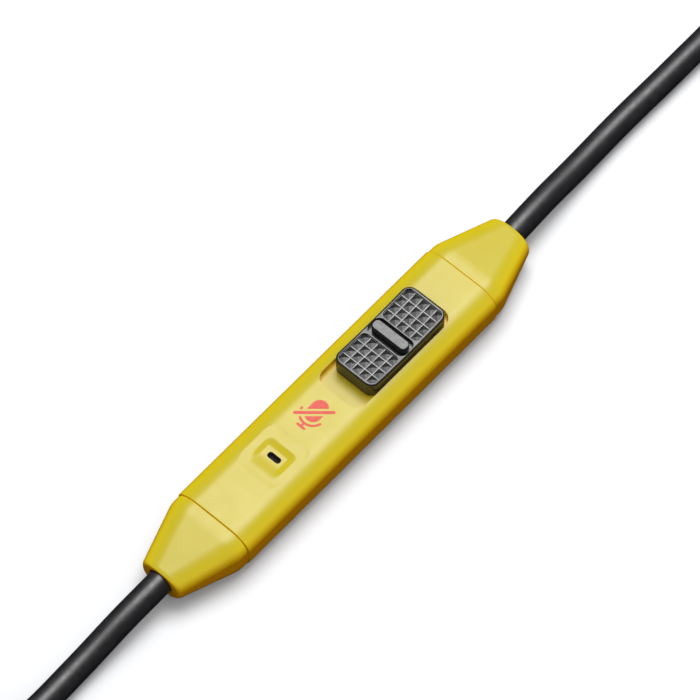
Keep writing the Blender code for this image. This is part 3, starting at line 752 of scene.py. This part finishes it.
CAP_LENGTH = CAP_HIGH.x - CAP_LOW.x
CAP_CREEP = 0.12  # how far the cap closes the gap to the shells
CAP_WIDE = (12.18, 6.8, 2.4)  # width, height and corner radius at the shoulder
CAP_NARROW = (6.95, 4.78, 2.15)  # and where the taper ends
CAP_SHOULDER = 0.7  # length before the taper
CAP_BLEND = 1.4  # length of the bend into the taper
CAP_NOSE = 0.55  # length of the rounding at the lead
CAP_HOLLOWS = {  # from and to a distance, with the width, height and corner radius
    "neck_pocket": (-1.0, 2.8, (10.0, 4.6, 1.4)),
    "crimp_chamber": (2.5, 5.6, (7.4, 4.5, 1.6)),
}
BORE_START = 5.0
BORE_RADIUS = 1.85
BORE_MOUTH = 2.2


def cap_sections():
    """Distance from the cap's wide face, width, height and corner radius."""
    sections = [(-CAP_CREEP, *shrunk(CAP_WIDE, 0.45))]
    for step in range(5):
        angle = math.pi / 2 * step / 4
        inset = END_EDGE * (1 - math.sin(angle))
        along = END_EDGE * (1 - math.cos(angle)) - CAP_CREEP
        sections.append((along, *shrunk(CAP_WIDE, inset)))
    bend_middle = CAP_SHOULDER + CAP_BLEND / 2
    taper_start = CAP_SHOULDER + CAP_BLEND
    taper_end = CAP_LENGTH - CAP_NOSE
    fall = taper_end - bend_middle
    for step in range(9):
        fraction = step / 8
        drop = CAP_BLEND / 2 * fraction**2 / fall
        along = CAP_SHOULDER + CAP_BLEND * fraction
        sections.append((along, *between(CAP_WIDE, CAP_NARROW, drop)))
    for fraction in (0.35, 0.7, 1.0):
        along = taper_start + (taper_end - taper_start) * fraction
        drop = (along - bend_middle) / fall
        sections.append((along, *between(CAP_WIDE, CAP_NARROW, drop)))
    return sections + nose_sections(taper_end)


def nose_sections(taper_end):
    """The cap's rounded nose."""
    width, height, corner = CAP_NARROW
    sections = []
    for step in range(1, 7):
        angle = math.pi / 2 * step / 6
        inset = 0.45 * (1 - math.cos(angle))
        lean = 0.3 * math.sin(angle)
        along = taper_end + CAP_NOSE * math.sin(angle)
        width_here, height_here = width - lean - 2 * inset, height - lean / 2 - inset
        sections.append((along, width_here, height_here, corner - inset / 2))
    return sections


def make_end_cap(node, side):
    low, high = node_box(node)
    wide_face = low.x if side > 0 else high.x
    place = lambda distance, across, up: (wide_face + side * distance, across, LEAD_HEIGHT + up)
    cap = loft(node + "_skin", cap_sections(), place, steps=20, crown=CROWN)
    mouth = CAP_LENGTH + 0.5
    bore = [(BORE_START, 0.0), (BORE_START, BORE_RADIUS), (CAP_LENGTH - 0.3, BORE_RADIUS)]
    bore += [(mouth, BORE_MOUTH), (mouth, 0.0)]
    cut(cap, turned("bore", bore, (wide_face, 0.0, LEAD_HEIGHT), side))
    for name, (first, last, section) in CAP_HOLLOWS.items():
        cut(cap, loft(name, [(first, *section), (last, *section)], place, steps=5))
    shade(cap)
    dress(cap, "yellow_shell")
    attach(cap, "housing")
    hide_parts(node)


make_front_shell()
make_sound_sleeve()
make_rear_shell()
make_end_cap("headset_end_cap", 1)
make_end_cap("source_end_cap", -1)

# ---- printed symbol


def bar_between(name, start, end, width, low, high):
    """A round-ended bar between two points of the top face."""
    start, end = Vector(start), Vector(end)
    along = end - start
    outline = rounded_rectangle(along.length + width, width, width / 2 - 0.001, steps=6)
    turn = Matrix.Rotation(math.atan2(along.y, along.x), 2)
    middle = (start + end) / 2
    return prism(name, [tuple(turn @ Vector(point) + middle) for point in outline], low, high)


def arc_band(name, centre, radius, width, first, last, low, high, steps=24):
    """A band of constant width along an arc, with its angles in degrees."""
    outline = []
    for sign in (1, -1):
        for step in range(steps + 1):
            fraction = step / steps if sign > 0 else 1 - step / steps
            angle = math.radians(first + (last - first) * fraction)
            reach = radius + sign * width / 2
            x, y = centre[0] + reach * math.cos(angle), centre[1] + reach * math.sin(angle)
            outline.append((x, y))
    return prism(name, outline, low, high)


SYMBOL_Y = 0.42  # where its middle line runs
SYMBOL_LINE = 0.34
INK_SINK = 0.05
INK_HEIGHT = 0.012


def make_symbol():
    """A crossed-out microphone, a common pictogram in its own proportions, upright towards +X."""
    low, high = BODY_HEIGHT - INK_SINK, BODY_HEIGHT + INK_HEIGHT
    y = SYMBOL_Y
    slash = ((-6.0, y + 1.9), (-2.63, y - 1.93))
    mark = bar_between("mute_symbol", (-4.6, y - 0.08), (-3.3, y - 0.08), 2.35, low, high)
    yoke = arc_band("yoke", (-4.6, y - 0.04), 1.76, SYMBOL_LINE, 98, 258, low, high)
    stem = bar_between("stem", (-6.4, y - 0.04), (-6.9, y - 0.04), SYMBOL_LINE, low, high)
    foot = bar_between("foot", (-7.0, y - 0.6), (-7.0, y + 0.52), 0.36, low, high)
    join(mark, yoke, stem, foot)
    cut(mark, bar_between("slash_gap", *slash, 1.1, low - 0.1, high + 0.1))
    join(mark, bar_between("slash", *slash, 0.46, low, high))
    join(mark, bar_between("yoke_end", (-5.0, y + 1.66), (-4.8, y + 1.7), 0.3, low, high))
    shade(mark)
    dress(mark, "yellow_shell", printed_ink())
    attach(mark, "housing")


make_symbol()

# ---- thumb slider

KNOB_X = (KNOB_LOW.x + KNOB_HIGH.x) / 2
KNOB_LENGTH = KNOB_HIGH.x - KNOB_LOW.x
KNOB_WIDTH = KNOB_HIGH.y - KNOB_LOW.y
KNOB_BOTTOM = 5.9
KNOB_TOP = 8.7
KNOB_HOLLOW = 0.4  # how far the top sinks towards its middle
KNOB_EDGE = 0.28
KNOB_CORNER = 1.35
KNOB_BAR = (1.56, 5.95, 0.66)  # length, width and corner radius
KNOB_GROOVE = (2.92, 6.65, 1.0)
GROOVE_FLOOR = 7.55
KNOB_CORE = (12.8, 4.8, 0.8)
CORE_TOP = 7.1
KNOB_STEM = (5.0, 2.6, 0.2)
LEVER_SOCKET = (1.7, 1.7, 0.1)
SOCKET_TOP = 5.35
PAD_DEPTH = 0.36
PAD_X = (1.62, 7.16)  # each grip pad's reach from the knob's middle
PAD_LENGTH = PAD_X[1] - PAD_X[0]
PAD_WIDTH = 6.3
PAD_CORNER = 0.75
GRIP_ROWS = (4, 5)
GRIP_VALLEY = 0.06
GRIP_PEAK = 0.08  # how far the peaks stay below the knob's top


def hollow_height(x):
    """Height of the knob's top surface, x from its middle."""
    half = KNOB_LENGTH / 2
    radius = (half**2 + KNOB_HOLLOW**2) / (2 * KNOB_HOLLOW)
    return KNOB_TOP - KNOB_HOLLOW + radius - math.sqrt(radius**2 - x**2)


def above_hollow(name, offset, first, last, half_width, steps=28):
    """Everything above the hollow's surface, lowered by offset, as a cutter."""
    outline = []
    for step in range(steps + 1):
        x = first + (last - first) * step / steps
        outline.append((KNOB_X + x, hollow_height(x) - offset))
    outline += [(KNOB_X + last, KNOB_TOP + 2.0), (KNOB_X + first, KNOB_TOP + 2.0)]
    return prism(name, outline, -half_width, half_width, "Y")


def pad_outline(side, inset=0.0):
    size = shrunk((PAD_LENGTH, PAD_WIDTH, PAD_CORNER), inset)
    return rounded_rectangle(*size, centre=(KNOB_X + side * sum(PAD_X) / 2, 0.0), steps=8)


def knob_side(inset, along=14, corner_steps=10):
    """Half of the knob's outline on its +Y side, from its +X end to its -X end."""
    reach, half_width = KNOB_LENGTH / 2 - inset, KNOB_WIDTH / 2 - inset
    radius = KNOB_CORNER - inset
    points = []
    for step in range(corner_steps + 1):
        angle = math.pi / 2 * step / corner_steps
        x = reach - radius + radius * math.cos(angle)
        points.append((x, half_width - radius + radius * math.sin(angle)))
    straight = 2 * (reach - radius)
    points += [(reach - radius - straight * step / along, half_width) for step in range(1, along)]
    return points + [(-x, y) for x, y in reversed(points[: corner_steps + 1])]


def knob_ring(shape, inset, height):
    """A ring of the knob's outline; height gives z at a distance from the knob's middle."""
    side = knob_side(inset)
    points = side + [(x, -y) for x, y in reversed(side)]
    return [shape.verts.new((KNOB_X + x, y, height(x))) for x, y in points]


def knob_block():
    """The knob's outside: upright walls, a rounded edge and the hollow top."""
    shape = bmesh.new()
    rings = [knob_ring(shape, 0.0, lambda x: KNOB_BOTTOM)]
    steps = 4
    for step in range(steps + 1):
        angle = math.pi / 2 * step / steps
        inset, drop = KNOB_EDGE * (1 - math.cos(angle)), KNOB_EDGE * (1 - math.sin(angle))
        rings.append(knob_ring(shape, inset, lambda x, drop=drop: hollow_height(x) - drop))
    bridge_all(shape, rings)
    for ring in (rings[0], rings[-1]):
        count = len(ring)
        for i in range(count // 2 - 1):
            shape.faces.new((ring[i], ring[i + 1], ring[count - 2 - i], ring[count - 1 - i]))
    return mesh_object("mute_knob_skin", shape)


def knob_prism(name, size, low, high, steps=8):
    """A rounded block round the knob's middle."""
    outline = rounded_rectangle(*size, centre=(KNOB_X, 0.0), steps=steps)
    return prism(name, outline, low, high)


def make_knob():
    knob = knob_block()
    for side in (-1, 1):
        pocket = above_hollow("pocket", PAD_DEPTH, *sorted((side * 1.2, side * 7.4)), 4.0)
        combine(pocket, "INTERSECT", prism("pad", pad_outline(side), 7.0, 12.0))
        cut(knob, pocket)
    cut(knob, knob_prism("groove", KNOB_GROOVE, GROOVE_FLOOR, KNOB_TOP + 1.0))
    bar = knob_prism("bar", KNOB_BAR, GROOVE_FLOOR - 0.15, KNOB_HIGH.z)
    soften(bar, 0.16, angle=60, segments=4)
    join(knob, bar)
    cut(knob, knob_prism("core", KNOB_CORE, 5.0, CORE_TOP, steps=4))
    join(knob, knob_prism("stem", KNOB_STEM, KNOB_LOW.z, CORE_TOP + 0.3, steps=2))
    cut(knob, knob_prism("socket", LEVER_SOCKET, 3.5, SOCKET_TOP, steps=1))
    shade(knob, angle=26)
    dress(knob, "black_knob")
    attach(knob, "slider")
    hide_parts("mute_knob")


def corners(low, high, inset=0.0):
    """A rectangle's corners, anticlockwise."""
    x = (low.x + inset, high.x - inset)
    y = (low.y + inset, high.y - inset)
    return [(x[0], y[0]), (x[1], y[0]), (x[1], y[1]), (x[0], y[1])]


def make_grip(side):
    """Rows of small pyramids on the floor of a grip pad, cut to its rounded outline."""
    columns, rows = GRIP_ROWS
    pitch = Vector((PAD_LENGTH / columns, PAD_WIDTH / rows))
    first = KNOB_X + (PAD_X[0] if side > 0 else -PAD_X[1])
    under_sink, base_sink = PAD_DEPTH + 0.3, PAD_DEPTH - 0.02
    shape = bmesh.new()

    def surface(x, y, sink):
        return shape.verts.new((x, y, hollow_height(x - KNOB_X) - sink))

    for column in range(columns):
        for row in range(rows):
            low = Vector((first + column * pitch.x, row * pitch.y - PAD_WIDTH / 2))
            high = low + pitch
            base = [surface(x, y, base_sink) for x, y in corners(low, high, GRIP_VALLEY)]
            rim = [surface(x, y, base_sink) for x, y in corners(low, high)]
            under = [surface(x, y, under_sink) for x, y in corners(low, high)]
            peak = surface(*(low + high) / 2, GRIP_PEAK)
            bridge(shape, under, rim)
            bridge(shape, rim, base)
            for i in range(4):
                shape.faces.new((base[i], base[(i + 1) % 4], peak))
            shape.faces.new(under)
    bmesh.ops.remove_doubles(shape, verts=shape.verts, dist=1e-4)
    inside = [face for face in shape.faces if is_shared_wall(face)]
    bmesh.ops.delete(shape, geom=inside, context="FACES")
    grip = mesh_object("grip_headset_side" if side > 0 else "grip_source_side", shape)
    combine(grip, "INTERSECT", prism("pad", pad_outline(side, 0.004), 6.5, 12.0))
    shade(grip, angle=15)
    dress(grip, "black_knob", GRIP_PLASTIC)
    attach(grip, "slider")


def is_shared_wall(face):
    """Whether a face is one of the two upright walls where two blocks touch."""
    face.normal_update()
    shared = any(len(edge.link_faces) > 2 for edge in face.edges)
    return shared and abs(face.normal.z) < 0.2


make_knob()
for side in (-1, 1):
    make_grip(side)

# ---- the lead

HEADSET_ROUTE = (
    (34.9, 0.05, 3.5),
    (38.5, 0.25, 3.42),
    (42.3, 0.51, 3.05),
    (47.9, 0.81, 2.3),
    (53.5, 1.07, 1.9),
    (59.3, 1.20, 1.8),
    (67.8, 1.13, 1.8),
    (73.3, 1.13, 1.8),
    (77.8, 1.19, 1.8),
    (81.2, 1.63, 1.84),
    (84.5, 2.58, 1.92),
    (87.5, 4.24, 2.1),
)

SOURCE_ROUTE = (
    (-34.9, -0.02, 3.5),
    (-38.5, -0.04, 3.42),
    (-42.3, 0.02, 3.05),
    (-47.5, 0.05, 2.3),
    (-52.5, 0.03, 1.9),
    (-57.5, -0.02, 1.8),
    (-60.5, 0.17, 1.82),
    (-63.0, 0.82, 1.88),
    (-65.0, 1.72, 1.96),
    (-67.4, 3.36, 2.1),
)

JOIN_ANGLE = 31.8  # degrees past the near end loop's apex where the lead joins the hank
FOLD_RADIUS = 10.8  # mean radius of the end loops, which sets the length of a turn
HEADSET_TURNS = (  # turn, radius of the end loops, height
    (0.0, 12.53, 2.4),
    (0.86, 12.53, 2.4),
    (0.97, 9.0, 2.4),
    (1.73, 9.0, 2.4),
    (1.85, 10.8, 6.3),
    (2.0, 10.8, 6.5),
    (2.0926, 10.8, 7.0),
)
SOURCE_TURNS = (
    (0.0, 12.53, 2.4),
    (0.87, 12.53, 2.4),
    (0.98, 9.0, 2.4),
    (1.74, 9.0, 2.4),
    (1.85, 9.0, 6.0),
    (2.61, 9.0, 6.0),
    (2.72, 12.53, 6.0),
    (3.48, 12.53, 6.0),
    (3.59, 12.53, 9.6),
    (4.35, 12.53, 9.6),
    (4.46, 9.0, 9.6),
    (4.98, 9.0, 9.6),
    (5.078, 8.0, 10.6),
)


def eased(stations, turn):
    """Radius and height at a turn, moving smoothly between the stations."""
    for (start, *before), (end, *after) in zip(stations, stations[1:]):
        if turn <= end:
            fraction = max(0.0, (turn - start) / (end - start))
            return between(before, after, smooth_step(fraction))
    return list(stations[-1][1:])


def hank_place(stations, turn, run):
    """Distance outwards from the near loop's centre, distance to the side, and height."""
    radius, height = eased(stations, turn)
    half_loop = math.pi * FOLD_RADIUS
    perimeter = 2 * (run + half_loop)
    joined = math.radians(JOIN_ANGLE) * FOLD_RADIUS - half_loop / 2
    along = (turn * perimeter + joined) % perimeter
    if along < run:
        return along, radius, height
    along -= run
    if along < half_loop:
        angle = math.pi / 2 - along / FOLD_RADIUS
        return run + radius * math.cos(angle), radius * math.sin(angle), height
    along -= half_loop
    if along < run:
        return run - along, -radius, height
    angle = -math.pi / 2 - (along - run) / FOLD_RADIUS
    return radius * math.cos(angle), radius * math.sin(angle), height


SAG = 0.53  # how far the strands settle where nothing holds them
TIE_HOLD = 9.0  # how far along the hank the tie still lifts them
FREE_END = 9.7  # height from which a strand lies on the others and stays up


def hank_route(stations, near, run, side, per_turn=30):
    """The hank's turns as points; it settles onto the surface away from its tie."""
    last = stations[-1][0]
    count = round(last * per_turn)
    points = []
    for step in range(count + 1):
        out, across, height = hank_place(stations, last * step / count, run)
        tied_side = across < -5.0
        held = math.exp(-(((out - run / 2) / TIE_HOLD) ** 2)) if tied_side else 0.0
        if height < FREE_END:
            height -= SAG * (1 - held)
        points.append((near + side * out, across, height))
    return points


def lead_curve(name, points, spacing=1.2):
    """A cord as a curve of one spline."""
    curve = bpy.data.curves.new(name, "CURVE")
    curve.dimensions = "3D"
    curve.bevel_depth = LEAD_RADIUS * MM
    curve.bevel_resolution = 6
    curve.use_fill_caps = True
    route = smooth_route(points, spacing)
    spline = curve.splines.new("POLY")
    spline.points.add(len(route) - 1)
    for point, place in zip(spline.points, route):
        point.co = (*[value * MM for value in place], 1.0)
    obj = link(bpy.data.objects.new(name, curve))
    curve.materials.append(MATERIALS["black_jacket"])
    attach(obj, "housing")
    return obj


# ---- plugs and ties


def plug_profile(relief=7.0, grip=12.0):
    """The moulded handle from the thin end of its relief: ribs on the relief, a waisted grip."""
    profile = [(0.0, 0.0), (0.0, 1.82), (0.15, 1.95)]
    ribs = 5
    pitch = (relief - 1.0) / ribs
    for rib in range(ribs):
        start = 0.3 + rib * pitch
        radius = 1.98 + 0.25 * (rib + 0.5) / ribs
        profile += [(start, radius), (start + 0.6 * pitch, radius + 0.03)]
        profile += [(start + 0.68 * pitch, radius - 0.16), (start + 0.92 * pitch, radius - 0.16)]
    profile += [(relief - 0.55, 2.25), (relief - 0.2, 2.3)]
    profile += fillet((relief - 0.2, 2.3), (relief + 0.25, 2.5), hollow=True)
    end = relief + grip
    for step in range(1, 10):
        along = relief + 0.25 + (grip - 1.0) * step / 10
        profile.append((along, 2.5 - 0.12 * math.sin(math.pi * step / 10)))
    profile.append((end - 0.5, 2.5))
    profile += fillet((end - 0.5, 2.5), (end, 2.0))
    profile.append((end, 0.0))
    return profile


def tip_profile(start, end, shaft):
    """The plug's tip: a shoulder, the catch groove and the rounded nose."""
    profile = [(start, 0.0), (start, shaft - 0.06), (start + 0.06, shaft), (start + 0.8, shaft)]
    for step in range(1, 7):
        fraction = step / 6
        profile.append((start + 0.8 + 0.9 * fraction, shaft - 0.5 * fraction**1.3))
    for step in range(1, 9):
        angle = math.pi * step / 8
        along = start + 1.7 + (end - start - 2.3) * step / 8
        profile.append((along, 1.25 + 0.37 * math.sin(0.62 * angle)))
    nose = (end - 0.6, 1.25 + 0.37 * math.sin(0.62 * math.pi))
    profile += fillet(nose, (end, 0.35))
    profile.append((end, 0.0))
    return profile


def shaft_profile(start, end, radius, edge=0.07):
    profile = [(start, 0.0), (start, radius - edge), (start + edge, radius)]
    return profile + [(end - edge, radius), (end, radius - edge), (end, 0.0)]


def make_plug(end, direction):
    """Smooth turned pieces in the places of the plug's CAD nodes."""
    low, high = node_box(f"{end}_plug_handle")
    start = (low + high) / 2
    start.x = low.x if direction > 0 else high.x
    pieces = []
    for node in sorted(frame["nodes"]):
        if not node.startswith(f"{end}_plug_"):
            continue
        low, high = node_box(node)
        reach = sorted((direction * (low.x - start.x), direction * (high.x - start.x)))
        shaft = (high.y - low.y) / 2
        if node.endswith("handle"):
            profile = plug_profile()
        elif node.endswith("tip"):
            profile = tip_profile(*reach, shaft)
        else:
            inset = 0.06 if "insulator" in node else 0.0
            profile = shaft_profile(*reach, shaft - inset)
        piece = turned(node + "_turned", profile, start, direction)
        shade(piece, angle=45)
        gold = not node.endswith("handle") and "insulator" not in node
        dress(piece, "gold" if gold else "plug_black")
        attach(piece, "housing")
        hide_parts(node)
        pieces.append(piece)
    return pieces


TIE_THICKNESS = 0.4
TIE_CORNER = 1.6
TIE_EDGE = 0.14


def make_tie(end, steps=10):
    """A soft strap round one run of the hank."""
    low, high = node_box(f"{end}_tie")
    middle, size = (low + high) / 2, high - low
    outside, inside = [], []
    for step in range(steps + 1):
        x = size.x * (step / steps - 0.5)
        edge = TIE_EDGE * abs(2 * step / steps - 1) ** 8
        for sections, inset in ((outside, edge), (inside, TIE_THICKNESS)):
            sections.append((x, *shrunk((size.y, size.z, TIE_CORNER), inset)))
    place = lambda x, across, up: (middle.x + x, middle.y + across, middle.z + up)
    sections = outside + inside[::-1]
    strap = loft(f"{end}_tie_strap", sections, place, steps=10, closed=True)
    shade(strap, angle=60)
    dress(strap, "tie_fabric")
    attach(strap, "housing")
    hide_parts(f"{end}_tie")


def make_lead(end, side, route, stations, near, run, tail):
    """A lead from its cap to its plug; near is the near loop's centre, run the straight after it."""
    pieces = make_plug(end, side)
    inside = [(side * x, 0.0, LEAD_HEIGHT) for x in (33.0, 34.0)]
    hank = hank_route(stations, near, run, side)
    lead = lead_curve(f"{end}_cord", [*inside, *route, *hank, *tail])
    nodes = [f"{end}_lead", f"{end}_hank"]
    if f"{end}_tail" in frame["nodes"]:
        nodes.append(f"{end}_tail")
    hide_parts(*nodes)
    make_tie(end)


make_lead(
    "headset",
    side=1,
    route=HEADSET_ROUTE,
    stations=HEADSET_TURNS,
    near=100.4,
    run=25.3,
    tail=[(102.1, 10.8, 7.0), (103.9, 10.8, 7.0)],
)
make_lead(
    "source",
    side=-1,
    route=SOURCE_ROUTE,
    stations=SOURCE_TURNS,
    near=-80.9,
    run=36.3,
    tail=[(-83.0, 8.0, 10.6)],
)

# ---- stage and light


FLOOR_REACH = 2500.0
FLOOR_DROP = 0.02  # keeps the floor clear of the lead lying on it


def make_floor():
    """Plain paper, seen by the camera only, so that it throws no light back under the part."""
    shape = bmesh.new()
    bmesh.ops.create_grid(shape, x_segments=1, y_segments=1, size=FLOOR_REACH)
    floor = mesh_object("floor", shape)
    floor.location.z = -FLOOR_DROP * MM
    floor.visible_diffuse = False
    floor.visible_glossy = False
    look = Shader("floor_paper", (0.69, 0.695, 0.705), 0.9, specular=0.0)
    look.mottle((0.675, 0.68, 0.69), 0.3, 40.0, 2.0, 0.3, 0.7)
    look.bump(look.noise(1.0, 3.0), 0.01, 0.1)
    floor.data.materials.append(look.material)


SOFTBOX_DIRECTION = Vector((0.30, 0.14, 0.944))
SOFTBOX_DISTANCE = 600.0
SOFTBOX_SIZE = (360.0, 385.0)
SOFTBOX_POWER = 3.53
SKY_DIFFUSE = 0.85
SKY_GLOSSY = 0.03


def add_softbox():
    """An area light overhead, wide enough for the flat top to mirror it into the camera."""
    data = bpy.data.lights.new("softbox", "AREA")
    data.shape = "RECTANGLE"
    data.size, data.size_y = (side * MM for side in SOFTBOX_SIZE)
    data.energy = SOFTBOX_POWER
    light = link(bpy.data.objects.new("softbox", data))
    light.location = (CAMERA_TARGET + SOFTBOX_DISTANCE * SOFTBOX_DIRECTION) * MM
    light.rotation_euler = (-SOFTBOX_DIRECTION).to_track_quat("-Z", "X").to_euler()


def light_sky():
    """A soft sky for shading, dimmer in reflections and dark below the horizon."""
    world = bpy.data.worlds.new("studio")
    world.use_nodes = True
    nodes, wire = world.node_tree.nodes, world.node_tree.links.new
    background = nodes["Background"]
    direction = nodes.new("ShaderNodeSeparateXYZ")
    wire(nodes.new("ShaderNodeTexCoord").outputs["Generated"], direction.inputs[0])
    height = nodes.new("ShaderNodeMapRange")
    height.inputs["From Min"].default_value = -0.05
    height.inputs["From Max"].default_value = 0.15
    wire(direction.outputs["Z"], height.inputs["Value"])
    reflected = nodes.new("ShaderNodeMapRange")
    reflected.inputs["To Min"].default_value = SKY_DIFFUSE
    reflected.inputs["To Max"].default_value = SKY_GLOSSY
    glossy = nodes.new("ShaderNodeLightPath").outputs["Is Glossy Ray"]
    wire(glossy, reflected.inputs["Value"])
    strength = nodes.new("ShaderNodeMath")
    strength.operation = "MULTIPLY"
    wire(height.outputs["Result"], strength.inputs[0])
    wire(reflected.outputs["Result"], strength.inputs[1])
    wire(strength.outputs["Value"], background.inputs["Strength"])
    background.inputs["Color"].default_value = (1.0, 1.0, 1.0, 1.0)
    bpy.context.scene.world = world


make_floor()
add_softbox()
light_sky()
bpy.context.scene.view_settings.view_transform = "Standard"
